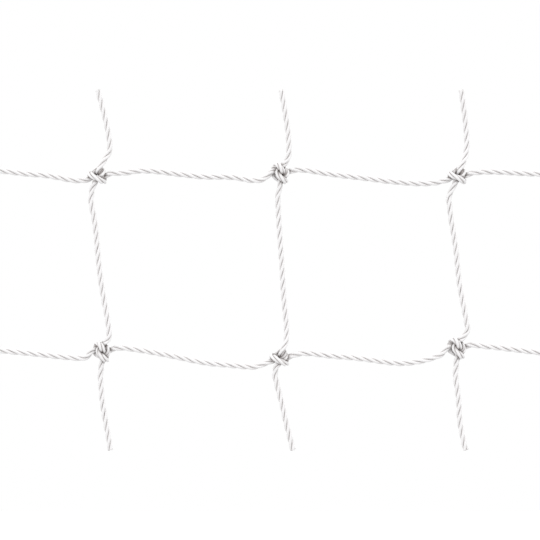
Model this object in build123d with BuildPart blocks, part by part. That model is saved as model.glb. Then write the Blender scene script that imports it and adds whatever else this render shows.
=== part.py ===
"""Square-mesh sports netting of twisted twine: six knots, five twines, in millimetres.

The netting hangs in the XZ plane, +Z up, and is looked at along +Y. The origin is the top cut end of the
middle column. Each knot is a sheet bend: one twine is laid in a bight, and the next twine rises through
it, goes round the neck of the bight and is tucked under itself. Each twine steps down the netting like a
stair, so it is made as one solid for every stretch that swings on its own.
"""
from build123d import *
from math import pi, radians, tan
import os

TWINE = 1.5            # twine diameter; the mesh bars are about 45 long
END_ROUND = 0.55       # rounding of an end inside the netting, where two stretches meet
CUT_ROUND = 0.12       # rounding of a cut end
ARC_SHARE = 0.45       # how much of its shorter run each arc may take
SPLIT = 0.1            # between the top and the foot of an outer middle leg, halfway down

# Knots, centre of each as (x, z), upper row then lower row, left to right.
UPPER_KNOTS = [(-46.3, -21.6), (-0.5, -21.3), (44.3, -21.6)]
LOWER_KNOTS = [(-45.4, -66.1), (-0.4, -67.4), (43.9, -65.3)]

# The turns of one knot, (x, y, z) from its centre: x to the right, y away from the eye, z up. Neighbouring
# knots face opposite ways. TUCK is the face where the hitch is tucked under itself, WRAP the face where it
# goes round. A bight runs from the left leg to the lower leg, a hitch from the upper leg to the right leg.
TUCK_BIGHT = [(-2.9, 0.1, -1.0), (-2.5, 0.1, 0.5), (-1.6, 0.2, 1.4), (-0.4, 0.5, 1.3),
              (0.7, 0.4, 1.6), (1.7, 0.1, 1.3), (2.0, -0.4, 0.4), (1.4, -0.6, -0.3), (0.6, -0.2, -0.9),
              (0.3, 0.0, -2.0), (0.1, 0.0, -3.8)]
TUCK_HITCH = [(2.2, 0.0, 3.7), (1.6, 0.1, 2.7), (0.1, -0.4, 1.4), (-0.7, -1.1, 0.5), (0.0, -1.7, -0.3),
              (1.0, -1.5, -1.1), (1.7, 0.0, -1.35), (0.4, 1.4, -0.9), (-1.2, 1.2, -1.0), (-1.9, 1.1, -0.1),
              (-1.3, 1.1, 1.4), (-0.5, -0.1, 2.6), (0.1, -1.4, 2.7), (0.35, -2.0, 1.3), (0.6, -1.4, 0.2),
              (1.0, 0.1, 0.0), (1.7, 0.9, 0.6), (2.9, 0.7, 1.2), (4.6, 0.0, 1.3)]
WRAP_BIGHT = [(-3.7, 0.0, -1.25), (-2.4, 0.1, -1.1), (-1.2, 0.4, -0.1), (-0.5, 0.6, 0.8), (0.4, 0.5, 1.45),
              (1.5, -0.1, 1.4), (1.75, -0.7, 0.4), (1.0, -0.75, -0.4), (-0.1, -0.5, -0.9), (-0.9, -0.3, -2.0),
              (-1.4, 0.0, -3.9)]
WRAP_HITCH = [(1.75, -0.4, 3.9), (0.95, -0.9, 2.45), (0.4, -0.85, 1.4), (0.35, 0.4, 0.4), (0.4, 1.4, 0.3),
              (1.05, 1.95, -0.35), (1.7, 1.4, -1.0), (1.75, 0.2, -1.1), (1.2, -1.2, -1.2), (-0.2, -1.8, -0.4),
              (-1.4, -1.3, 0.1), (-2.0, -0.1, 0.25), (-1.5, 1.1, 0.4), (-0.5, 1.4, 0.35), (0.2, 1.1, -0.4),
              (1.2, 0.6, -0.3), (2.3, 0.3, 0.4), (4.0, 0.0, 0.9)]

# Routes of the stretches between knots, (x, z) in the plane of the netting, chosen by eye: slack twine,
# every bar and leg a little different. Legs run downwards, bars and side ends from left to right.
TOP_LEGS = [[(-46.1, 0.0), (-44.0, -7.6), (-42.9, -14.3)],
            [(0.0, 0.0), (1.6, -8.4), (2.0, -14.3)],
            [(45.3, 0.0), (46.4, -7.6), (46.8, -14.3)]]
MIDDLE_LEGS = [[(-47.9, -28.3), (-46.8, -33.0), (-46.2, -40.0), (-45.5, -47.6), (-44.3, -54.0), (-43.4, -59.3)],
               [(-0.8, -28.3), (-0.5, -34.5), (0.2, -44.0), (0.6, -52.0), (1.4, -59.3)],
               [(42.2, -28.3), (42.8, -33.0), (44.0, -40.0), (44.6, -47.6), (45.8, -54.0), (46.9, -59.3)]]
BOTTOM_LEGS = [[(-45.3, -74.3), (-45.0, -78.8), (-43.9, -84.5), (-42.9, -90.5)],
               [(-1.0, -74.3), (0.2, -78.8), (1.3, -84.0), (3.0, -90.5)],
               [(44.2, -74.3), (44.8, -79.5), (44.9, -84.5), (46.4, -90.5)]]
UPPER_BARS = [[(-40.2, -21.0), (-34.4, -20.0), (-26.0, -21.1), (-19.0, -21.9), (-12.5, -21.7), (-7.0, -22.9)],
              [(6.4, -20.1), (12.0, -21.1), (20.0, -22.0), (28.5, -23.1), (35.5, -23.6), (39.5, -23.2)]]
LOWER_BARS = [[(-39.4, -64.8), (-34.0, -65.6), (-27.0, -66.9), (-19.0, -68.7), (-12.0, -69.2), (-6.5, -69.8)],
              [(6.0, -66.0), (12.0, -66.8), (20.0, -67.4), (29.5, -68.9), (35.5, -68.2), (39.8, -66.8)]]
UPPER_LEFT_END = [(-71.6, -20.1), (-64.5, -21.1), (-58.5, -21.4), (-53.1, -22.6)]
LOWER_LEFT_END = [(-71.6, -65.4), (-64.5, -66.0), (-57.0, -66.9), (-51.3, -67.4)]
UPPER_RIGHT_END = [(51.3, -20.5), (56.0, -20.6), (61.0, -21.0), (66.2, -21.1)]
LOWER_RIGHT_END = [(52.5, -64.5), (57.0, -65.0), (61.5, -65.6), (66.2, -66.1)]

# Where each knot's own twine stops, 0.9 short of the pivot: above, below, left and right.
UPPER_STUBS = {"above": [(-43.4, -16.1), (1.9, -16.1), (46.4, -16.1)],
               "below": [(-47.8, -26.5), (-0.9, -26.5), (42.1, -26.5)]}
LOWER_STUBS = {"above": [(-43.2, -61.1), (1.3, -61.1), (46.8, -61.1)],
               "below": [(-45.5, -72.5), (-1.4, -72.5), (43.8, -72.5)]}
UPPER_LEFT_STUB = (-51.3, -22.7)
LOWER_LEFT_STUB = (-49.5, -67.5)
UPPER_RIGHT_STUB = (49.5, -20.7)
LOWER_RIGHT_STUB = (50.7, -64.4)


def in_plane(points):
    """Points of a route that lies in the plane of the netting, y = 0."""
    return [(x, 0, z) for x, z in points]


def placed(points, knot):
    """The turns of one twine moved to the knot's centre."""
    return [(knot[0] + x, y, knot[1] + z) for x, y, z in points]


def bight(knot, tucked):
    """From the left leg round the bight to the lower leg."""
    return placed(TUCK_BIGHT if tucked else WRAP_BIGHT, knot)


def hitch(knot, tucked):
    """From the upper leg through the hitch to the right leg."""
    return placed(TUCK_HITCH if tucked else WRAP_HITCH, knot)


def arc_radii(points):
    """The largest arc at each corner that leaves its two runs a straight middle."""
    radii = []
    for before, at, after in zip(points, points[1:], points[2:]):
        run_in, run_out = Vector(*at) - Vector(*before), Vector(*after) - Vector(*at)
        shorter = min(run_in.length, run_out.length)
        radii.append(ARC_SHARE * shorter / tan(radians(run_in.get_angle(run_out)) / 2))
    return radii


def top_and_foot(points):
    """The route of a leg cut at the middle of its middle run."""
    half = len(points) // 2
    before, after = Vector(*points[half - 1]), Vector(*points[half])
    middle, along = (before + after) / 2, (after - before).normalized()
    return (points[:half] + [(middle - along * SPLIT / 2).to_tuple()],
            [(middle + along * SPLIT / 2).to_tuple()] + points[half:])


def make_stretch(name, points, cut_start=False, cut_end=False):
    """One stretch of twine: a round tube on straight runs joined by tangent arcs, its ends rounded."""
    radii = arc_radii(points)
    with BuildPart() as stretch:
        with BuildLine() as route:
            FilletPolyline(*points, radius=radii)
        path = route.wires()[0]
        with BuildSketch(Plane(path @ 0, z_dir=path % 0)):
            Circle(TWINE / 2)
        sweep()
        flat_ends = stretch.faces().filter_by(GeomType.PLANE)
        start = flat_ends.sort_by_distance(Vector(*points[0]))[0]
        end = flat_ends.sort_by_distance(Vector(*points[-1]))[0]
        fillet(start.edges(), CUT_ROUND if cut_start else END_ROUND)
        fillet(end.edges(), CUT_ROUND if cut_end else END_ROUND)
    stretch.part.label = name
    export_step(stretch.part, f"parts/{name}.step")
    share = stretch.part.volume / (path.length * pi * TWINE**2 / 4)
    print(f"{name}: length {path.length:.1f}, tightest arc {min(radii):.2f}, volume share {share:.3f}")


os.makedirs("parts", exist_ok=True)

upper_left, upper_middle, upper_right = UPPER_KNOTS
lower_left, lower_middle, lower_right = LOWER_KNOTS
above_upper, below_upper = (in_plane(UPPER_STUBS[side]) for side in ("above", "below"))
above_lower, below_lower = (in_plane(LOWER_STUBS[side]) for side in ("above", "below"))

# The three top legs hang from the line that the netting is tied to.
for twine, leg in zip("cde", TOP_LEGS):
    make_stretch(f"twine_{twine}_top_leg", in_plane(leg), cut_start=True)

# Upper row: the knots at its left and right show the face that goes round, the middle one the tuck.
make_stretch("twine_b_upper_knot_turn",
             in_plane([UPPER_LEFT_STUB]) + bight(upper_left, False) + [below_upper[0]])
make_stretch("twine_c_upper_bar",
             [above_upper[0]] + hitch(upper_left, False) + in_plane(UPPER_BARS[0])
             + bight(upper_middle, True) + [below_upper[1]])
make_stretch("twine_d_upper_bar",
             [above_upper[1]] + hitch(upper_middle, True) + in_plane(UPPER_BARS[1])
             + bight(upper_right, False) + [below_upper[2]])
make_stretch("twine_e_upper_knot_turn",
             [above_upper[2]] + hitch(upper_right, False) + in_plane([UPPER_RIGHT_STUB]))

# The legs between the two rows. The rows and legs are closed four-sided meshes, so each outer leg is cut
# halfway down: its top swings from the upper row and its foot from the lower row, always in one line.
for twine, leg in zip("bd", (MIDDLE_LEGS[0], MIDDLE_LEGS[2])):
    leg_top, leg_foot = top_and_foot(in_plane(leg))
    make_stretch(f"twine_{twine}_middle_leg_top", leg_top, cut_end=True)
    make_stretch(f"twine_{twine}_middle_leg_foot", leg_foot, cut_start=True)
make_stretch("twine_c_middle_leg", in_plane(MIDDLE_LEGS[1]))

# Lower row: faces the other way round, because neighbouring knots always face opposite ways.
make_stretch("twine_a_lower_knot_turn",
             in_plane([LOWER_LEFT_STUB]) + bight(lower_left, True) + [below_lower[0]])
make_stretch("twine_b_lower_bar",
             [above_lower[0]] + hitch(lower_left, True) + in_plane(LOWER_BARS[0])
             + bight(lower_middle, False) + [below_lower[1]])
make_stretch("twine_c_lower_bar",
             [above_lower[1]] + hitch(lower_middle, False) + in_plane(LOWER_BARS[1])
             + bight(lower_right, True) + [below_lower[2]])
make_stretch("twine_d_lower_knot_turn",
             [above_lower[2]] + hitch(lower_right, True) + in_plane([LOWER_RIGHT_STUB]))

# The legs below the lower row, and the side ends, all cut off square.
for twine, leg in zip("abc", BOTTOM_LEGS):
    make_stretch(f"twine_{twine}_bottom_leg", in_plane(leg), cut_end=True)
make_stretch("twine_b_left_end", in_plane(UPPER_LEFT_END), cut_start=True)
make_stretch("twine_a_left_end", in_plane(LOWER_LEFT_END), cut_start=True)
make_stretch("twine_e_right_end", in_plane(UPPER_RIGHT_END), cut_end=True)
make_stretch("twine_d_right_end", in_plane(LOWER_RIGHT_END), cut_end=True)
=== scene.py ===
# %% [markdown]
# # Knotted netting of twisted twine
# A tennis net is a sheet of square meshes. Each mesh side is about 45 mm of thin twisted twine, and at
# every corner two twines are tied in a sheet bend. This lesson builds six knots and the twine between them.
# The frame comes first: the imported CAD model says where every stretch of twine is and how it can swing.

# %% Load the frame
import math

import bmesh
import bpy
import numpy as np
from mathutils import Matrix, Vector


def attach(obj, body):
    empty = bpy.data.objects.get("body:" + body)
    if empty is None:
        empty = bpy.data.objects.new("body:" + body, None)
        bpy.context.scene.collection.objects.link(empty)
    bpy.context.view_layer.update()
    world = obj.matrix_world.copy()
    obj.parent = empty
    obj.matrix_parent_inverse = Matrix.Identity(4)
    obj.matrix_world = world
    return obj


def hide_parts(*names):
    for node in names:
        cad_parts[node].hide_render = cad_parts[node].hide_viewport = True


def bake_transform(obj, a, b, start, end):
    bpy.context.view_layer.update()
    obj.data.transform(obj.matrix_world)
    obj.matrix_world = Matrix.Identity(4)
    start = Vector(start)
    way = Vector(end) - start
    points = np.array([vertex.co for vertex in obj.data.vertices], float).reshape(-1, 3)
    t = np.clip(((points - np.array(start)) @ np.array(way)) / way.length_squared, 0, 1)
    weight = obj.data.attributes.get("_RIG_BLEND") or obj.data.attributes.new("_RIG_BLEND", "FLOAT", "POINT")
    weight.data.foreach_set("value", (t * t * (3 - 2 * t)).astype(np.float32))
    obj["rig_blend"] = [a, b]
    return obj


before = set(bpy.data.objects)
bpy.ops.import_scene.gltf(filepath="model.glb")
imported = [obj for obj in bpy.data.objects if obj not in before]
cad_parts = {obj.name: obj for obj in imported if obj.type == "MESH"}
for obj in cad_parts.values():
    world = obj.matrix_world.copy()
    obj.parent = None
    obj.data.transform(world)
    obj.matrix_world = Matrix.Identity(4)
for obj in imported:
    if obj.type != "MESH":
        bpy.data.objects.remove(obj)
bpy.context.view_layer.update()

MM = 0.001

# %% [markdown]
# ## The eye
# The netting hangs in the XZ plane and is looked at square on, along +Y. A long lens keeps the meshes
# square, so the camera stands back by nearly three times the width of the netting, which fills its frame.

# %% Camera
FRAME_WIDTH = 135.8 * MM       # what the view spans, side to side
EYE_X, EYE_Z = -2.8 * MM, -45.25 * MM

lens = bpy.data.cameras.new("eye")
lens.lens, lens.sensor_width = 100.0, 36.0
eye = bpy.data.objects.new("eye", lens)
bpy.context.scene.collection.objects.link(eye)
eye.location = (EYE_X, -FRAME_WIDTH * lens.lens / lens.sensor_width, EYE_Z)
eye.rotation_euler = (math.radians(90), 0, 0)
lens.clip_start, lens.clip_end = 0.01, 20.0
bpy.context.scene.camera = eye
print("eye stands", round(-eye.location.y, 3), "m in front")

# %% [markdown]
# ## The twine
# The twine is three strands laid up right-handed, so each strand winds round the other two like the thread
# of a screw. Every strand is itself a bundle of plastic filaments, twisted the other way, which is why the
# filaments at the crown of the twine run nearly straight along it.

# %% Sizes of the twine
TWINE = 1.5 * MM               # outside diameter
LAY = 7.8 * MM                 # length in which a strand goes once round
STRANDS = 3
STRAND_RADIUS = 0.232 * TWINE  # three touching circles inside the twine's own circle
STRAND_REACH = 0.268 * TWINE   # from the twine's centre line to a strand's
FILAMENTS = 9                  # ridges round one strand
RING_SPACING = 0.25 * MM       # between the rings of points that make up a strand
print("a strand is", round(2 * STRAND_RADIUS / MM, 2), "mm thick and goes once round in", LAY / MM, "mm")

# %% [markdown]
# ## The routes
# A knot joins two twines. One is laid in a bight, a closed U. The other, the hitch, rises through it, goes
# round behind and is tucked under itself. The turns are points in millimetres from the knot's centre: x to
# the right, y away from the eye, z up. Neighbouring knots face opposite ways, so there are two sets of
# turns: one seen from the face where the hitch is tucked, one from the face where it goes round. A table is
# chosen over a curve drawn by hand, because every knot of the same face can then use the same turns.

# %% The face where the hitch is tucked under itself
TUCK_BIGHT = [(-2.9, 0.1, -1.0), (-2.5, 0.1, 0.5), (-1.6, 0.2, 1.4), (-0.4, 0.5, 1.3),
              (0.7, 0.4, 1.6), (1.7, 0.1, 1.3), (2.0, -0.4, 0.4), (1.4, -0.6, -0.3), (0.6, -0.2, -0.9),
              (0.3, 0.0, -2.0), (0.1, 0.0, -3.8)]
TUCK_HITCH = [(2.2, 0.0, 3.7), (1.6, 0.1, 2.7), (0.1, -0.4, 1.4), (-0.7, -1.1, 0.5), (0.0, -1.7, -0.3),
              (1.0, -1.5, -1.1), (1.7, 0.0, -1.35), (0.4, 1.4, -0.9), (-1.2, 1.2, -1.0), (-1.9, 1.1, -0.1),
              (-1.3, 1.1, 1.4), (-0.5, -0.1, 2.6), (0.1, -1.4, 2.7), (0.35, -2.0, 1.3), (0.6, -1.4, 0.2),
              (1.0, 0.1, 0.0), (1.7, 0.9, 0.6), (2.9, 0.7, 1.2), (4.6, 0.0, 1.3)]
print("tucked face:", len(TUCK_BIGHT), "points in the bight,", len(TUCK_HITCH), "in the hitch")

# %% The face where the hitch goes round
WRAP_BIGHT = [(-3.7, 0.0, -1.25), (-2.4, 0.1, -1.1), (-1.2, 0.4, -0.1), (-0.5, 0.6, 0.8), (0.4, 0.5, 1.45),
              (1.5, -0.1, 1.4), (1.75, -0.7, 0.4), (1.0, -0.75, -0.4), (-0.1, -0.5, -0.9), (-0.9, -0.3, -2.0),
              (-1.4, 0.0, -3.9)]
WRAP_HITCH = [(1.75, -0.4, 3.9), (0.95, -0.9, 2.45), (0.4, -0.85, 1.4), (0.35, 0.4, 0.4), (0.4, 1.4, 0.3),
              (1.05, 1.95, -0.35), (1.7, 1.4, -1.0), (1.75, 0.2, -1.1), (1.2, -1.2, -1.2), (-0.2, -1.8, -0.4),
              (-1.4, -1.3, 0.1), (-2.0, -0.1, 0.25), (-1.5, 1.1, 0.4), (-0.5, 1.4, 0.35), (0.2, 1.1, -0.4),
              (1.2, 0.6, -0.3), (2.3, 0.3, 0.4), (4.0, 0.0, 0.9)]
print("round face:", len(WRAP_BIGHT), "points in the bight,", len(WRAP_HITCH), "in the hitch")

# %% Put a knot in its place


def placed(points, knot):
    """The turns of one twine moved to the knot's centre."""
    return [(knot[0] + x, y, knot[1] + z) for x, y, z in points]


def bight(knot, tucked):
    """From the left leg round the bight to the lower leg."""
    return placed(TUCK_BIGHT if tucked else WRAP_BIGHT, knot)


def hitch(knot, tucked):
    """From the upper leg through the hitch to the right leg."""
    return placed(TUCK_HITCH if tucked else WRAP_HITCH, knot)


def flat(*points):
    """Points in the plane of the netting, from (x, z) pairs."""
    return [(x, 0.0, z) for x, z in points]


# %% [markdown]
# Between the knots the twine is slack, so no bar is quite straight and no two legs are alike. The rows and
# columns below are the same points that the CAD model is built on, in millimetres, x then z.

# %% Knots and legs
UPPER_KNOTS = [(-46.3, -21.6), (-0.5, -21.3), (44.3, -21.6)]
LOWER_KNOTS = [(-45.4, -66.1), (-0.4, -67.4), (43.9, -65.3)]
TOP_LEGS = [flat((-46.1, 0.0), (-44.0, -7.6), (-42.9, -14.3)),
            flat((0.0, 0.0), (1.6, -8.4), (2.0, -14.3)),
            flat((45.3, 0.0), (46.4, -7.6), (46.8, -14.3))]
MIDDLE_LEGS = [flat((-47.9, -28.3), (-46.8, -33.0), (-46.2, -40.0), (-45.5, -47.6), (-44.3, -54.0),
                    (-43.4, -59.3)),
               flat((-0.8, -28.3), (-0.5, -34.5), (0.2, -44.0), (0.6, -52.0), (1.4, -59.3)),
               flat((42.2, -28.3), (42.8, -33.0), (44.0, -40.0), (44.6, -47.6), (45.8, -54.0),
                    (46.9, -59.3))]
BOTTOM_LEGS = [flat((-45.3, -74.3), (-45.0, -78.8), (-43.9, -84.5), (-42.9, -90.5)),
               flat((-1.0, -74.3), (0.2, -78.8), (1.3, -84.0), (3.0, -90.5)),
               flat((44.2, -74.3), (44.8, -79.5), (44.9, -84.5), (46.4, -90.5))]
print(len(UPPER_KNOTS + LOWER_KNOTS), "knots,", len(TOP_LEGS + MIDDLE_LEGS + BOTTOM_LEGS), "legs")

# %% Bars, side ends and the way in and out of the knots
UPPER_BARS = [flat((-40.2, -21.0), (-34.4, -20.0), (-26.0, -21.1), (-19.0, -21.9), (-12.5, -21.7),
                   (-7.0, -22.9)),
              flat((6.4, -20.1), (12.0, -21.1), (20.0, -22.0), (28.5, -23.1), (35.5, -23.6), (39.5, -23.2))]
LOWER_BARS = [flat((-39.4, -64.8), (-34.0, -65.6), (-27.0, -66.9), (-19.0, -68.7), (-12.0, -69.2),
                   (-6.5, -69.8)),
              flat((6.0, -66.0), (12.0, -66.8), (20.0, -67.4), (29.5, -68.9), (35.5, -68.2), (39.8, -66.8))]
UPPER_LEFT_END = flat((-71.6, -20.1), (-64.5, -21.1), (-58.5, -21.4), (-53.1, -22.6), (-51.3, -22.7))
LOWER_LEFT_END = flat((-71.6, -65.4), (-64.5, -66.0), (-57.0, -66.9), (-51.3, -67.4), (-49.5, -67.5))
UPPER_RIGHT_END = flat((49.5, -20.7), (51.3, -20.5), (56.0, -20.6), (61.0, -21.0), (66.2, -21.1))
LOWER_RIGHT_END = flat((50.7, -64.4), (52.5, -64.5), (57.0, -65.0), (61.5, -65.6), (66.2, -66.1))
ABOVE_UPPER = flat((-43.4, -16.1), (1.9, -16.1), (46.4, -16.1))
BELOW_UPPER = flat((-47.8, -26.5), (-0.9, -26.5), (42.1, -26.5))
ABOVE_LOWER = flat((-43.2, -61.1), (1.3, -61.1), (46.8, -61.1))
BELOW_LOWER = flat((-45.5, -72.5), (-1.4, -72.5), (43.8, -72.5))
print(len(UPPER_BARS + LOWER_BARS), "bars and 4 side ends")

# %% [markdown]
# Each twine steps down the netting like a stair: down a leg, through a hitch, along a bar, round a bight
# and down the next leg. Five twines make the netting, and each is one unbroken route.

# %% Five twines, each from its first cut end to its last
ROUTES = {
    "twine_a": LOWER_LEFT_END + bight(LOWER_KNOTS[0], True) + BELOW_LOWER[:1] + BOTTOM_LEGS[0],
    "twine_b": UPPER_LEFT_END + bight(UPPER_KNOTS[0], False) + BELOW_UPPER[:1] + MIDDLE_LEGS[0]
    + ABOVE_LOWER[:1] + hitch(LOWER_KNOTS[0], True) + LOWER_BARS[0] + bight(LOWER_KNOTS[1], False)
    + BELOW_LOWER[1:2] + BOTTOM_LEGS[1],
    "twine_c": TOP_LEGS[0] + ABOVE_UPPER[:1] + hitch(UPPER_KNOTS[0], False) + UPPER_BARS[0]
    + bight(UPPER_KNOTS[1], True) + BELOW_UPPER[1:2] + MIDDLE_LEGS[1] + ABOVE_LOWER[1:2]
    + hitch(LOWER_KNOTS[1], False) + LOWER_BARS[1] + bight(LOWER_KNOTS[2], True) + BELOW_LOWER[2:]
    + BOTTOM_LEGS[2],
    "twine_d": TOP_LEGS[1] + ABOVE_UPPER[1:2] + hitch(UPPER_KNOTS[1], True) + UPPER_BARS[1]
    + bight(UPPER_KNOTS[2], False) + BELOW_UPPER[2:] + MIDDLE_LEGS[2] + ABOVE_LOWER[2:]
    + hitch(LOWER_KNOTS[2], True) + LOWER_RIGHT_END,
    "twine_e": TOP_LEGS[2] + ABOVE_UPPER[2:] + hitch(UPPER_KNOTS[2], False) + UPPER_RIGHT_END,
}
print({name: len(route) for name, route in ROUTES.items()}, "points in the routes")

# %% [markdown]
# Twine never turns a corner, so the points only steer it. A NURBS spline pulls a smooth line past them
# without touching them, and its points are then spaced evenly, because a strand's rings sit on them.

# %% From a route to a centre line
SPLINE_STEPS = 24              # points that the spline gives between two of the route's


def smooth_line(name, route):
    """Points read from the NURBS spline whose control points are the route's, in metres."""
    curve = bpy.data.curves.new(name, "CURVE")
    curve.dimensions, curve.resolution_u = "3D", SPLINE_STEPS
    spline = curve.splines.new("NURBS")
    spline.points.add(len(route) - 1)
    for point, (x, y, z) in zip(spline.points, route):
        point.co = (x * MM, y * MM, z * MM, 1.0)
    spline.order_u, spline.use_endpoint_u = 3, True
    carrier = bpy.data.objects.new(name, curve)
    mesh = bpy.data.meshes.new_from_object(carrier)
    line = np.array([vertex.co for vertex in mesh.vertices], float)
    bpy.data.objects.remove(carrier)
    bpy.data.curves.remove(curve)
    bpy.data.meshes.remove(mesh)
    return line


def evenly(line, spacing):
    """The same line with its points a constant distance apart."""
    along = np.concatenate([[0.0], np.cumsum(np.linalg.norm(np.diff(line, axis=0), axis=1))])
    marks = np.linspace(0.0, along[-1], max(2, round(along[-1] / spacing)) + 1)
    return np.stack([np.interp(marks, along, line[:, k]) for k in range(3)], axis=1)


lines = {name: evenly(smooth_line(name, route), RING_SPACING) for name, route in ROUTES.items()}
for name, line in lines.items():
    print(name, "length", round(RING_SPACING / MM * (len(line) - 1)), "mm,", len(line), "points")

# %% [markdown]
# ## Pulling the knots tight
# As listed, the turns of a knot pass through each other a little here and stand apart there. A pulled
# knot settles by itself, because twine can't pass through twine and can't bend sharply. The points near the
# knots are moved in small steps that follow those two rules, and the legs stay where they are.

# %% Settle the knots
CONTACT = 0.78 * TWINE         # pulled twine presses a little into its neighbour
LOOSE_RADIUS = 5.2 * MM        # how far from its centre a knot may move the twine
HOLD_WIDTH = 1.5 * MM          # over which the twine goes from held to free
NEXT_TURN = 2.2 * TWINE        # points of one twine closer than this along it are the same turn
NEARBY = 3 * TWINE             # turns that start farther apart than this never meet
SETTLE_STEPS = 60
PUSH, EASE = 0.6, 0.3          # how much of an overlap, and of a kink, goes away in one step


def settle(lines):
    """Pushes touching turns apart and smooths them, near the knots only."""
    names = list(lines)
    points = np.vstack([lines[n] for n in names])
    starts = np.cumsum([0] + [len(lines[n]) for n in names])
    owner = np.concatenate([[k] * len(lines[n]) for k, n in enumerate(names)])
    centres = np.array([(x * MM, 0.0, z * MM) for x, z in UPPER_KNOTS + LOWER_KNOTS])
    reach = np.linalg.norm(points[:, None] - centres[None], axis=2).min(axis=1)
    freedom = np.clip((LOOSE_RADIUS - reach) / HOLD_WIDTH, 0.0, 1.0)[:, None]
    loose = np.flatnonzero(freedom[:, 0] > 0)
    inside = np.array([i for i in loose if i - 2 >= starts[owner[i]] and i + 2 < starts[owner[i] + 1]])
    first, second = (loose[k] for k in np.triu_indices(len(loose), 1))
    apart = (owner[first] != owner[second]) | (second - first > NEXT_TURN / RING_SPACING)
    near = np.linalg.norm(points[first] - points[second], axis=1) < NEARBY
    first, second = first[apart & near], second[apart & near]
    for _ in range(SETTLE_STEPS):
        gap = points[second] - points[first]
        distance = np.linalg.norm(gap, axis=1, keepdims=True)
        press = np.maximum(0.0, CONTACT - distance) * gap / np.maximum(distance, 1e-9)
        push, count = np.zeros_like(points), np.zeros((len(points), 1))
        np.add.at(push, first, -press)
        np.add.at(push, second, press)
        touching = (distance < CONTACT).astype(float)
        np.add.at(count, first, touching)
        np.add.at(count, second, touching)
        points = points + freedom * PUSH * push / np.maximum(count, 1.0)
        close = 0.5 * (points[inside - 1] + points[inside + 1]) - points[inside]
        points[inside] += freedom[inside] * EASE * close
    distance = np.linalg.norm(points[second] - points[first], axis=1)
    print("closest turns", round(distance.min() / TWINE, 2), "diameters apart")
    return {n: evenly(points[starts[k]:starts[k + 1]], RING_SPACING) for k, n in enumerate(names)}


lines = settle(lines)

# %% [markdown]
# ## A socket that does sums
# Both the strands and their finish are worked out with nodes. Linking them one by one hides the sum that
# they do, so one small class wraps a socket, and an ordinary Python expression adds the Math nodes. One
# function adds any other node.

# %% The class


class Wire:
    """An output socket in a node tree, which can stand in a Python expression."""

    def __init__(self, tree, socket):
        self.tree, self.socket = tree, socket

    def maths(self, operation, *values):
        node = self.tree.nodes.new("ShaderNodeMath")
        node.operation = operation
        for slot, value in zip(node.inputs, values):
            plug(self.tree, slot, value)
        return Wire(self.tree, node.outputs[0])

    def __add__(self, other):
        return self.maths("ADD", self, other)

    def __radd__(self, other):
        return self.maths("ADD", other, self)

    def __sub__(self, other):
        return self.maths("SUBTRACT", self, other)

    def __rsub__(self, other):
        return self.maths("SUBTRACT", other, self)

    def __mul__(self, other):
        return self.maths("MULTIPLY", self, other)

    def __rmul__(self, other):
        return self.maths("MULTIPLY", other, self)

    def __truediv__(self, other):
        return self.maths("DIVIDE", self, other)

    def __pow__(self, other):
        return self.maths("POWER", self, other)

    def cosine(self):
        return self.maths("COSINE", self)

    def sine(self):
        return self.maths("SINE", self)

    def clamped(self):
        """The value held between 0 and 1."""
        return self.maths("MINIMUM", self.maths("MAXIMUM", self, 0.0), 1.0)


# %% Link, add, scale, store


def plug(tree, slot, value):
    """Links a wire to a socket, or sets the socket's value."""
    if isinstance(value, Wire):
        tree.links.new(value.socket, slot)
    else:
        slot.default_value = value


def add(tree, kind, settings=None, inputs=None, output=0):
    """Adds any node: its type, its settings, then the values or links of its sockets."""
    node = tree.nodes.new(kind)
    for name, value in (settings or {}).items():
        setattr(node, name, value)
    for name, value in (inputs or {}).items():
        plug(tree, node.inputs[name], value)
    return Wire(tree, node.outputs[output])


def scaled(tree, vector, amount):
    """A vector wire times a number wire."""
    return add(tree, "ShaderNodeVectorMath", {"operation": "SCALE"}, {0: vector, "Scale": amount})


def store(tree, geometry, kind, name, value):
    """The geometry, with one more named attribute on its points."""
    return add(tree, "GeometryNodeStoreNamedAttribute", {"data_type": kind, "domain": "POINT"},
               {"Geometry": geometry, "Name": name, "Value": value})


def recall(tree, kind, name):
    """A named attribute that was stored on the points earlier in the tree."""
    return add(tree, "GeometryNodeInputNamedAttribute", {"data_type": kind}, {"Name": name})


# %% [markdown]
# ## Laying up the strands
# A rope walk lays strands by turning them round each other while they move forward. Geometry Nodes do the
# same: the centre line is copied once for each strand, every point is moved outwards, and the direction
# turns with the distance along the twine. A ridged ring swept along each copy is the bundle of filaments.
# A Screw modifier would lay rope too, but only straight, while this follows the line through every knot.

# %% Sizes that give the twine its character
RIDGE_POINTS = 4               # points round one filament's ridge
RIDGE_HEIGHT = 0.035           # of a strand's radius
FILAMENT_LAY = 0.87 * LAY      # length in which the filaments go once round their strand
FILAMENT_SHIFT = 1.7           # turns each strand's filaments a little away from its neighbour's, in radians
UNEVENNESS = 0.22              # how much a strand's distance from the centre wanders
SWAY_RATE, SWAY_SHIFT = 140.0, 7.3   # how fast it wanders along the twine, and from strand to strand
print("filaments go once round in", round(FILAMENT_LAY / MM, 2), "mm, the other way")

# %% One copy of the centre line for each strand


def copy_line(tree, line, strands):
    """Copies of the centre line, whose points remember how far along, where and in which strand they are."""
    line = store(tree, line, "FLOAT", "along", add(tree, "GeometryNodeSplineParameter", output=1))
    line = store(tree, line, "FLOAT_VECTOR", "core", add(tree, "GeometryNodeInputPosition"))
    copies = tree.nodes.new("GeometryNodeDuplicateElements")
    copies.domain = "SPLINE"
    plug(tree, copies.inputs["Geometry"], line)
    plug(tree, copies.inputs["Amount"], strands)
    number = Wire(tree, copies.outputs["Duplicate Index"])
    return store(tree, Wire(tree, copies.outputs["Geometry"]), "FLOAT", "strand", number)


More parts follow.
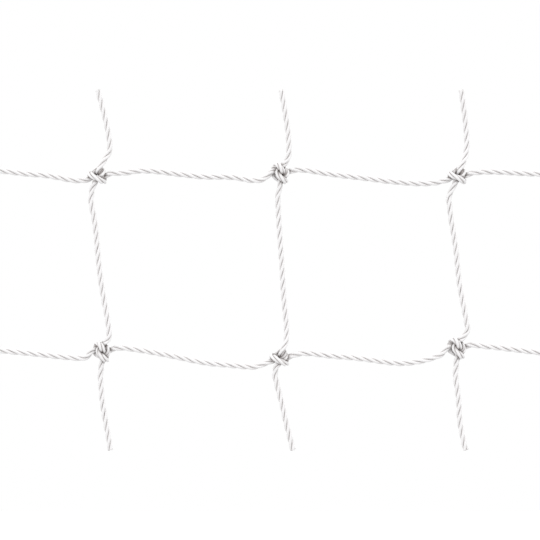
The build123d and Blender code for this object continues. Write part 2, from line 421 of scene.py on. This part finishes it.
# %% [markdown]
# The way out from the centre line turns once in every lay. Real strands are never laid quite evenly, so a
# little noise along the twine moves each one in and out. The filaments are twisted the other way.

# %% The strands turned round each other


def lay_up(tree, strands, given):
    """Moves every strand out to its seat and twists its filaments."""
    seat, travel = recall(tree, "FLOAT", "strand"), recall(tree, "FLOAT", "along")
    angle = 2 * math.pi * (travel / given["Lay"] + seat / given["Strands"])
    across = add(tree, "GeometryNodeInputNormal")
    ahead = add(tree, "GeometryNodeInputTangent")
    side = add(tree, "ShaderNodeVectorMath", {"operation": "CROSS_PRODUCT"}, {0: ahead, 1: across})
    spot = add(tree, "ShaderNodeCombineXYZ", None, {"X": travel * SWAY_RATE + given["Seed"],
                                                    "Y": seat * SWAY_SHIFT + given["Seed"]})
    sway = add(tree, "ShaderNodeTexNoise", {"noise_dimensions": "2D"},
               {"Vector": spot, "Scale": 1.0, "Detail": 1.0})
    uneven = 1 + UNEVENNESS * (sway - 0.5)
    out_across = angle.cosine() * given["Strand reach"] * uneven
    out_side = angle.sine() * given["Strand reach"] * uneven
    step = add(tree, "ShaderNodeVectorMath", {"operation": "ADD"}, {
        0: scaled(tree, across, out_across), 1: scaled(tree, side, out_side)})
    strands = add(tree, "GeometryNodeSetPosition", None, {"Geometry": strands, "Offset": step})
    twist = travel * (-2 * math.pi / FILAMENT_LAY) + seat * FILAMENT_SHIFT
    return add(tree, "GeometryNodeSetCurveTilt", None, {"Curve": strands, "Tilt": twist})


# %% The ridged ring of one strand


def filament_ring(tree, given):
    """A circle with one ridge for each filament."""
    ring = add(tree, "GeometryNodeCurvePrimitiveCircle", {"mode": "RADIUS"},
               {"Resolution": given["Filaments"] * RIDGE_POINTS, "Radius": given["Strand radius"]})
    spot = add(tree, "GeometryNodeInputIndex")
    ring = store(tree, ring, "FLOAT", "around", spot / (RIDGE_POINTS * given["Filaments"]))
    ridge = (spot * (2 * math.pi / RIDGE_POINTS)).cosine() * given["Ridge height"]
    place = add(tree, "GeometryNodeInputPosition")
    return add(tree, "GeometryNodeSetPosition", None,
               {"Geometry": ring, "Position": scaled(tree, place, 1 + ridge)})


# %% The rope walk, as a node tree


def rope_walk():
    """A Geometry Nodes tree that turns a centre line into laid strands."""
    tree = bpy.data.node_groups.new("rope_walk", "GeometryNodeTree")
    face = tree.interface
    face.new_socket("Geometry", in_out="OUTPUT", socket_type="NodeSocketGeometry")
    face.new_socket("Geometry", in_out="INPUT", socket_type="NodeSocketGeometry")
    for name, kind in (("Strands", "Int"), ("Strand radius", "Float"), ("Strand reach", "Float"),
                       ("Lay", "Float"), ("Filaments", "Int"), ("Ridge height", "Float"),
                       ("Seed", "Float"), ("Finish", "Material")):
        face.new_socket(name, in_out="INPUT", socket_type="NodeSocket" + kind)
    entry = tree.nodes.new("NodeGroupInput")
    given = {s.name: Wire(tree, s) for s in entry.outputs}

    strands = lay_up(tree, copy_line(tree, given["Geometry"], given["Strands"]), given)
    mesh = add(tree, "GeometryNodeCurveToMesh", None,
               {"Curve": strands, "Profile Curve": filament_ring(tree, given), "Fill Caps": True})
    mesh = add(tree, "GeometryNodeSetShadeSmooth", {"domain": "FACE"}, {"Geometry": mesh})
    depth = add(tree, "ShaderNodeVectorMath", {"operation": "DISTANCE"},
                {0: add(tree, "GeometryNodeInputPosition"), 1: recall(tree, "FLOAT_VECTOR", "core")}, output=1)
    mesh = store(tree, mesh, "FLOAT", "crown", depth / (given["Strand reach"] + given["Strand radius"]))
    mesh = add(tree, "GeometryNodeRealizeInstances", None, {"Geometry": mesh})
    mesh = add(tree, "GeometryNodeSetMaterial", None, {"Geometry": mesh, "Material": given["Finish"]})
    leave = tree.nodes.new("NodeGroupOutput")
    plug(tree, leave.inputs["Geometry"], mesh)
    return tree


walk = rope_walk()
print("rope walk:", len(walk.nodes), "nodes")

# %% [markdown]
# ## White plastic filament
# The twine is white polyethylene. The crowns of the strands are plain white, while the shade in the grooves
# between strands is painted into the colour, so the colour follows how far a point is from the twine's centre.
# Painted shade is darkest in the nooks of the knots, where turns of twine press on each other. Fine streaks
# run along the filaments, and the surface is satin, not glossy. The pattern reads what the rope walk stored on
# each point, so the streaks follow the filaments round every bend, which a flat image could not do.

# %% Colours, grain and painted shade
CLEAN, DULL = (0.75, 0.742, 0.752, 1), (0.71, 0.702, 0.705, 1)
# The two darker colours are painted shade: one for the grooves between strands, which the streaks also darken
# towards, and one for the nooks of the knots.
GROOVE_SHADE_AND_STREAKS, NOOK_SHADE = (0.36, 0.325, 0.31, 1), (0.12, 0.092, 0.082, 1)
# Painted shade in the grooves: how far in from the crown it starts, how fast it deepens, how dark it gets.
GROOVE_EDGE, GROOVE_SLOPE, GROOVE_DEPTH = 0.86, 2.6, 0.62   # where a groove starts, how fast, how dark
# Painted shade in a nook: how it grows with the nook's depth, and how dark it gets.
NOOK_CURVE, NOOK_DEPTH = 1.3, 0.8                           # the same for a nook
STREAK_FLOOR, STREAK_DEPTH = 0.45, 0.6                      # the noise above the floor shades the filaments
PATCH_FLOOR, PATCH_SCALE = 0.35, 90.0                       # larger clean and dull patches
GRAIN_ROUND, GRAIN_ALONG, GRAIN_SHIFT = 2.4, 260.0, 5.0     # noise per radius, per metre, per strand
GRAIN_SCALE = 2.6                                           # how fine the streaks are
SATIN, DRY, SHINE = 0.42, 0.25, 0.4                         # roughness, what a streak adds, and shine
FIBRE_STRENGTH, FIBRE_HEIGHT = 0.35, 0.05 * MM              # the relief of the streaks


def mixed(tree, share, first, second):
    """The colour that goes from the first to the second while the share goes from 0 to 1."""
    return add(tree, "ShaderNodeMix", {"data_type": "RGBA"}, {"Factor": share, 6: first, 7: second}, output=2)


# %% The finish


def twine_finish():
    """The material of every stretch of twine."""
    finish = bpy.data.materials.new("white_twine")
    finish.use_nodes = True
    tree = finish.node_tree
    shell = tree.nodes["Principled BSDF"]
    crown, around, along, strand, nook = (
        add(tree, "ShaderNodeAttribute", {"attribute_name": name}, None, output=2)
        for name in ("crown", "around", "along", "strand", "nook"))

    turn = around * (2 * math.pi)
    fibre = add(tree, "ShaderNodeCombineXYZ", None, {"X": turn.cosine() * GRAIN_ROUND + strand * GRAIN_SHIFT,
                                                     "Y": turn.sine() * GRAIN_ROUND,
                                                     "Z": along * GRAIN_ALONG})
    streak = add(tree, "ShaderNodeTexNoise", None,
                 {"Vector": fibre, "Scale": GRAIN_SCALE, "Detail": 4.0, "Roughness": 0.6})
    place = add(tree, "ShaderNodeTexCoord", None, None, output=3)
    patch = add(tree, "ShaderNodeTexNoise", None, {"Vector": place, "Scale": PATCH_SCALE, "Detail": 2.0})

    # Painted shade in the grooves between strands; the filament streaks darken the colour towards the same
    # grey.
    groove = ((GROOVE_EDGE - crown) * GROOVE_SLOPE).clamped()
    shade = (groove * GROOVE_DEPTH + (streak - STREAK_FLOOR).clamped() * STREAK_DEPTH).clamped()
    colour = mixed(tree, (patch - PATCH_FLOOR).clamped(), DULL, CLEAN)
    colour = mixed(tree, shade, colour, GROOVE_SHADE_AND_STREAKS)
    # Painted shade in the nooks of the knots, where the turns hide each other from the light.
    colour = mixed(tree, nook ** NOOK_CURVE * NOOK_DEPTH, colour, NOOK_SHADE)
    plug(tree, shell.inputs["Base Color"], colour)
    plug(tree, shell.inputs["Roughness"], SATIN + DRY * streak)
    fibres = add(tree, "ShaderNodeBump", None,
                 {"Strength": FIBRE_STRENGTH, "Distance": FIBRE_HEIGHT, "Height": streak})
    plug(tree, shell.inputs["Normal"], fibres)
    shell.inputs["Specular IOR Level"].default_value = SHINE
    return finish


white_twine = twine_finish()
print("white twine:", len(white_twine.node_tree.nodes), "nodes")

# %% [markdown]
# ## Painted shade in the nooks
# Inside a knot the turns hide each other from the light, and that shade is painted into the colour. Each point
# of the finished strands looks for the nearest other turn of twine, and the closer that turn's centre line is,
# the deeper the point's nook and the darker its painted shade.

# %% How deep a point lies in a knot
NOOK_FAR = 0.95 * TWINE        # from the next turn's centre line: twine in the open
NOOK_NEAR = 0.50 * TWINE       # and twine that touches it
OWN_TURN = 2.0 * TWINE         # a point's own turn reaches this far either way, and doesn't count


def nooks(points, own, along):
    """How much painted shade each point of one laid twine gets: 0 in the open, 1 where two turns touch."""
    deep = np.zeros(len(points), np.float32)
    for x, z in UPPER_KNOTS + LOWER_KNOTS:
        centre = np.array([x * MM, 0.0, z * MM])
        here = np.flatnonzero(np.linalg.norm(points - centre, axis=1) < LOOSE_RADIUS)
        for name, line in lines.items():
            travel = np.arange(len(line)) * RING_SPACING
            close = np.linalg.norm(line - centre, axis=1) < LOOSE_RADIUS
            if not len(here) or not close.any():
                continue
            gap = np.linalg.norm(points[here][:, None] - line[close][None], axis=2)
            if name == own:
                gap[np.abs(along[here][:, None] - travel[close][None]) < OWN_TURN] = np.inf
            nearness = np.clip((NOOK_FAR - gap.min(axis=1)) / (NOOK_FAR - NOOK_NEAR), 0.0, 1.0)
            deep[here] = np.maximum(deep[here], nearness)
    return deep


# %% [markdown]
# ## Cutting the twine into stretches
# Every twine is laid in one go, so the strands run on through the knots without a break. The netting bends
# where legs and side ends leave the knots, so the finished twine is then cut into one piece for every
# stretch. Laying each stretch by itself would be simpler, but its strands would not meet its neighbour's.
# Two neighbours share a ring of points, and each piece is closed with a cap. The whole twine's normals are
# kept, so that no line shows at a cut.

# %% Lay a twine along its centre line


def lay_twine(name, line, seed):
    """The three strands along a centre line, as one plain mesh."""
    curve = bpy.data.curves.new(name, "CURVE")
    curve.dimensions = "3D"
    spline = curve.splines.new("POLY")
    spline.points.add(len(line) - 1)
    spline.points.foreach_set("co", np.c_[line, np.ones(len(line))].astype(np.float32).ravel())
    carrier = bpy.data.objects.new(name, curve)
    bpy.context.scene.collection.objects.link(carrier)
    work = carrier.modifiers.new("rope_walk", "NODES")
    work.node_group = walk
    sockets = {s.name: s.identifier for s in walk.interface.items_tree if s.in_out == "INPUT"}
    for label, value in (("Strands", STRANDS), ("Strand radius", STRAND_RADIUS),
                         ("Strand reach", STRAND_REACH), ("Lay", LAY), ("Filaments", FILAMENTS),
                         ("Ridge height", RIDGE_HEIGHT), ("Seed", seed), ("Finish", white_twine)):
        work[sockets[label]] = value
    graph = bpy.context.evaluated_depsgraph_get()
    mesh = bpy.data.meshes.new_from_object(carrier.evaluated_get(graph))
    bpy.data.objects.remove(carrier)
    normals = np.zeros(len(mesh.vertices) * 3, np.float32)
    mesh.vertex_normals.foreach_get("vector", normals)
    mesh.attributes.new("outward", "FLOAT_VECTOR", "POINT").data.foreach_set("vector", normals)
    points, along = np.zeros(len(mesh.vertices) * 3), np.zeros(len(mesh.vertices))
    mesh.vertices.foreach_get("co", points)
    mesh.attributes["along"].data.foreach_get("value", along)
    deep = nooks(points.reshape(-1, 3), name, along)
    mesh.attributes.new("nook", "FLOAT", "POINT").data.foreach_set("value", deep)
    return mesh


# %% Cut a laid twine


def keep_outward(cut):
    """Gives a cut mesh the shading of the whole twine, so that no line shows where it was cut."""
    outward = np.zeros(len(cut.vertices) * 3, np.float32)
    cut.attributes["outward"].data.foreach_get("vector", outward)
    corners = np.zeros(len(cut.loops), np.int32)
    cut.loops.foreach_get("vertex_index", corners)
    normals = outward.reshape(-1, 3)[corners]
    for face in cut.polygons:
        if not face.use_smooth:
            normals[face.loop_start:face.loop_start + face.loop_total] = face.normal
    cut.normals_split_custom_set(normals.tolist())
    cut.attributes.remove(cut.attributes["outward"])


def cut_piece(name, mesh, first, last):
    """The part of a laid twine between two distances along it, closed at both ends."""
    work = bmesh.new()
    work.from_mesh(mesh)
    along = work.verts.layers.float["along"]
    slack = RING_SPACING / 4
    outside = [v for v in work.verts if not first - slack <= v[along] <= last + slack]
    bmesh.ops.delete(work, geom=outside, context="VERTS")
    bmesh.ops.delete(work, geom=[v for v in work.verts if not v.link_faces], context="VERTS")
    rims = [e for e in work.edges if e.is_boundary]
    caps = bmesh.ops.holes_fill(work, edges=rims, sides=0)["faces"]
    for cap in caps:
        cap.smooth = False
    bmesh.ops.recalc_face_normals(work, faces=work.faces)
    cut = bpy.data.meshes.new(name)
    work.to_mesh(cut)
    work.free()
    keep_outward(cut)
    cut.materials.clear()
    cut.materials.append(white_twine)
    piece = bpy.data.objects.new(name, cut)
    bpy.context.scene.collection.objects.link(piece)
    return piece


# %% [markdown]
# A leg bends over a few millimetres either side of its hinge: before the bend it belongs to one body, after
# it to the next, and in between it turns. The cuts lie at the ends of the bends, where the twine goes into
# a knot, and halfway down the middle legs.

# %% Where each twine bends and is cut
BEND = 2.6 * MM                # half the length of twine that bends at a hinge
HALFWAY = ("z", -43.8 * MM)    # where the middle legs are cut
SHORTEST = 4                   # rings between two cuts, at the least
SEED_STEP = 3.7                # sets the unevenness of one twine apart from the next
HINGES = {"top": ("z", -15.2 * MM), "upper": ("z", -27.4 * MM), "lower": ("z", -60.2 * MM),
          "bottom": ("z", -73.4 * MM), "upper_left": ("x", -52.2 * MM), "lower_left": ("x", -50.4 * MM),
          "upper_right": ("x", 50.4 * MM), "lower_right": ("x", 51.6 * MM)}
print("each hinge bends", round(2 * BEND / MM, 1), "mm of twine")

# %% [markdown]
# The table lists each twine's stretches in order. A row gives the piece, the CAD node that it replaces, the
# body at its start, the body at its end and the hinge between the two.

# %% The stretches of the five twines
STRETCHES = {
    "twine_a": [("left_end", "left_end", "lower_left_end", "lower_row", "lower_left"),
                ("lower_knot_turn", "lower_knot_turn", "lower_row", "lower_row", None),
                ("bottom_leg", "bottom_leg", "lower_row", "bottom_legs", "bottom")],
    "twine_b": [("left_end", "left_end", "upper_left_end", "upper_row", "upper_left"),
                ("upper_knot_turn", "upper_knot_turn", "upper_row", "upper_row", None),
                ("middle_leg_top", "middle_leg_top", "upper_row", "middle_leg_1_top", "upper"),
                ("middle_leg_foot", "middle_leg_foot", "middle_leg_1_foot", "lower_row", "lower"),
                ("lower_bar", "lower_bar", "lower_row", "lower_row", None),
                ("bottom_leg", "bottom_leg", "lower_row", "bottom_legs", "bottom")],
    "twine_c": [("top_leg", "top_leg", "top_legs", "upper_row", "top"),
                ("upper_bar", "upper_bar", "upper_row", "upper_row", None),
                ("middle_leg_top", "middle_leg", "upper_row", "middle_leg_2", "upper"),
                ("middle_leg_foot", "middle_leg", "middle_leg_2", "lower_row", "lower"),
                ("lower_bar", "lower_bar", "lower_row", "lower_row", None),
                ("bottom_leg", "bottom_leg", "lower_row", "bottom_legs", "bottom")],
    "twine_d": [("top_leg", "top_leg", "top_legs", "upper_row", "top"),
                ("upper_bar", "upper_bar", "upper_row", "upper_row", None),
                ("middle_leg_top", "middle_leg_top", "upper_row", "middle_leg_3_top", "upper"),
                ("middle_leg_foot", "middle_leg_foot", "middle_leg_3_foot", "lower_row", "lower"),
                ("lower_knot_turn", "lower_knot_turn", "lower_row", "lower_row", None),
                ("right_end", "right_end", "lower_row", "lower_right_end", "lower_right")],
    "twine_e": [("top_leg", "top_leg", "top_legs", "upper_row", "top"),
                ("upper_knot_turn", "upper_knot_turn", "upper_row", "upper_row", None),
                ("right_end", "right_end", "upper_row", "upper_right_end", "upper_right")],
}
print(sum(len(stretches) for stretches in STRETCHES.values()), "stretches,", len(HINGES), "places to bend")

# %% Find the cuts and bend a piece


def onward(axis):
    """The way the twine travels past a plane: to the right, or down."""
    return 1 if axis == "x" else -1


def cut_plane(before, after):
    """The plane between two neighbouring stretches, as (axis, place)."""
    if before[4] and after[4]:
        return HALFWAY
    axis, place = HINGES[before[4] or after[4]]
    return axis, place + (1 if before[4] else -1) * onward(axis) * BEND


def ring_past(line, start, axis, place):
    """The first ring after start that lies past a plane."""
    column = line[:, "xyz".index(axis)] * onward(axis)
    return start + int(np.argmax(column[start:] > place * onward(axis)))


def bend(piece, first, second, hinge):
    """Lets a piece turn from one body to the next across its hinge."""
    axis, place = HINGES[hinge]
    unit = Vector((1, 0, 0)) if axis == "x" else Vector((0, 0, 1))
    half = BEND * onward(axis)
    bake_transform(piece, first, second, start=unit * (place - half), end=unit * (place + half))


# %% Lay every twine, cut it and hand its stretches to their bodies
for number, (twine, stretches) in enumerate(STRETCHES.items()):
    line = lines[twine]
    laid = lay_twine(twine, line, number * SEED_STEP)
    distance = np.concatenate([[0.0], np.cumsum(np.linalg.norm(np.diff(line, axis=0), axis=1))])
    rings = [0]
    for before, after in zip(stretches, stretches[1:]):
        rings.append(ring_past(line, rings[-1] + SHORTEST, *cut_plane(before, after)))
    rings.append(len(line) - 1)
    for (part, node, first, second, hinge), start, end in zip(stretches, rings, rings[1:]):
        piece = cut_piece(f"{twine}_{part}_strands", laid, distance[start], distance[end])
        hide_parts(f"{twine}_{node}")
        if hinge:
            bend(piece, first, second, hinge)
        else:
            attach(piece, first)
        length = round((distance[end] - distance[start]) / MM, 1)
        print(piece.name, length, "mm,", len(piece.data.polygons), "faces")
    bpy.data.meshes.remove(laid)

# %% [markdown]
# ## A white room
# Netting is shown on plain white. The light comes from all round, a little more from above than from below,
# with one soft window in front, so that the upper side of every bar is white and its underside in soft shade.
# A room is cheapest as a world: its glow is tied to the direction of the ray, and seen directly it is white.

# %% Light from all round
ROOM_LIGHT = 1.30              # how bright the white room is; behind the netting it is plain white
FROM_ABOVE = 0.30              # how much brighter it is overhead, and darker below, than straight ahead

room = bpy.data.worlds.new("white_room")
room.use_nodes = True
sky = room.node_tree.nodes["Background"]
sky.inputs["Color"].default_value = (1, 1, 1, 1)
seen = add(room.node_tree, "ShaderNodeLightPath")
ray = add(room.node_tree, "ShaderNodeTexCoord")
height = add(room.node_tree, "ShaderNodeSeparateXYZ", None, {"Vector": ray}, output=2)
glow = ROOM_LIGHT * (1 + FROM_ABOVE * height)
plug(room.node_tree, sky.inputs["Strength"], glow + seen * (1.0 - glow))
bpy.context.scene.world = room
print("the room is", round((1 + FROM_ABOVE) / (1 - FROM_ABOVE), 2), "times as bright above as below")

# %% [markdown]
# A pale floor lies well below the netting. It is there to be seen from above, and throws no light up.

# %% Pale floor
FLOOR_REACH, FLOOR_LEVEL = 1.2, -0.30    # half its width, and its height, in metres
FLOOR_WHITE, FLOOR_GLOW = 0.9, 0.5

floor_mesh = bpy.data.meshes.new("floor")
corners = [(side * FLOOR_REACH, end * FLOOR_REACH, FLOOR_LEVEL)
           for side, end in ((-1, -1), (1, -1), (1, 1), (-1, 1))]
floor_mesh.from_pydata(corners, [], [(0, 1, 2, 3)])
floor = bpy.data.objects.new("floor", floor_mesh)
bpy.context.scene.collection.objects.link(floor)
pale = bpy.data.materials.new("pale_floor")
pale.use_nodes = True
paint = pale.node_tree.nodes["Principled BSDF"].inputs
paint["Base Color"].default_value = (FLOOR_WHITE, FLOOR_WHITE, FLOOR_WHITE, 1)
paint["Emission Color"].default_value = (1, 1, 1, 1)
paint["Emission Strength"].default_value = FLOOR_GLOW
floor_mesh.materials.append(pale)
floor.visible_diffuse = floor.visible_glossy = False
print("floor", 2 * FLOOR_REACH, "m wide,", -FLOOR_LEVEL, "m below the top of the netting")

# %% [markdown]
# The window is one square lamp, above and to the left in front, turned to the middle of the netting.

# %% Window
WINDOW_WIDTH, WINDOW_WATTS = 0.6, 0.9
WINDOW_PLACE = Vector((-0.35, -0.8, 0.55))
NETTING_MIDDLE = Vector((0, 0, -0.045))

window = bpy.data.lights.new("window", "AREA")
window.shape, window.size, window.energy = "SQUARE", WINDOW_WIDTH, WINDOW_WATTS
window_light = bpy.data.objects.new("window", window)
bpy.context.scene.collection.objects.link(window_light)
window_light.location = WINDOW_PLACE
window_light.rotation_euler = (NETTING_MIDDLE - WINDOW_PLACE).to_track_quat("-Z", "Y").to_euler()
print("window", round((NETTING_MIDDLE - WINDOW_PLACE).length, 2), "m from the netting")

settings = bpy.context.scene.view_settings
settings.view_transform, settings.look = "Standard", "None"
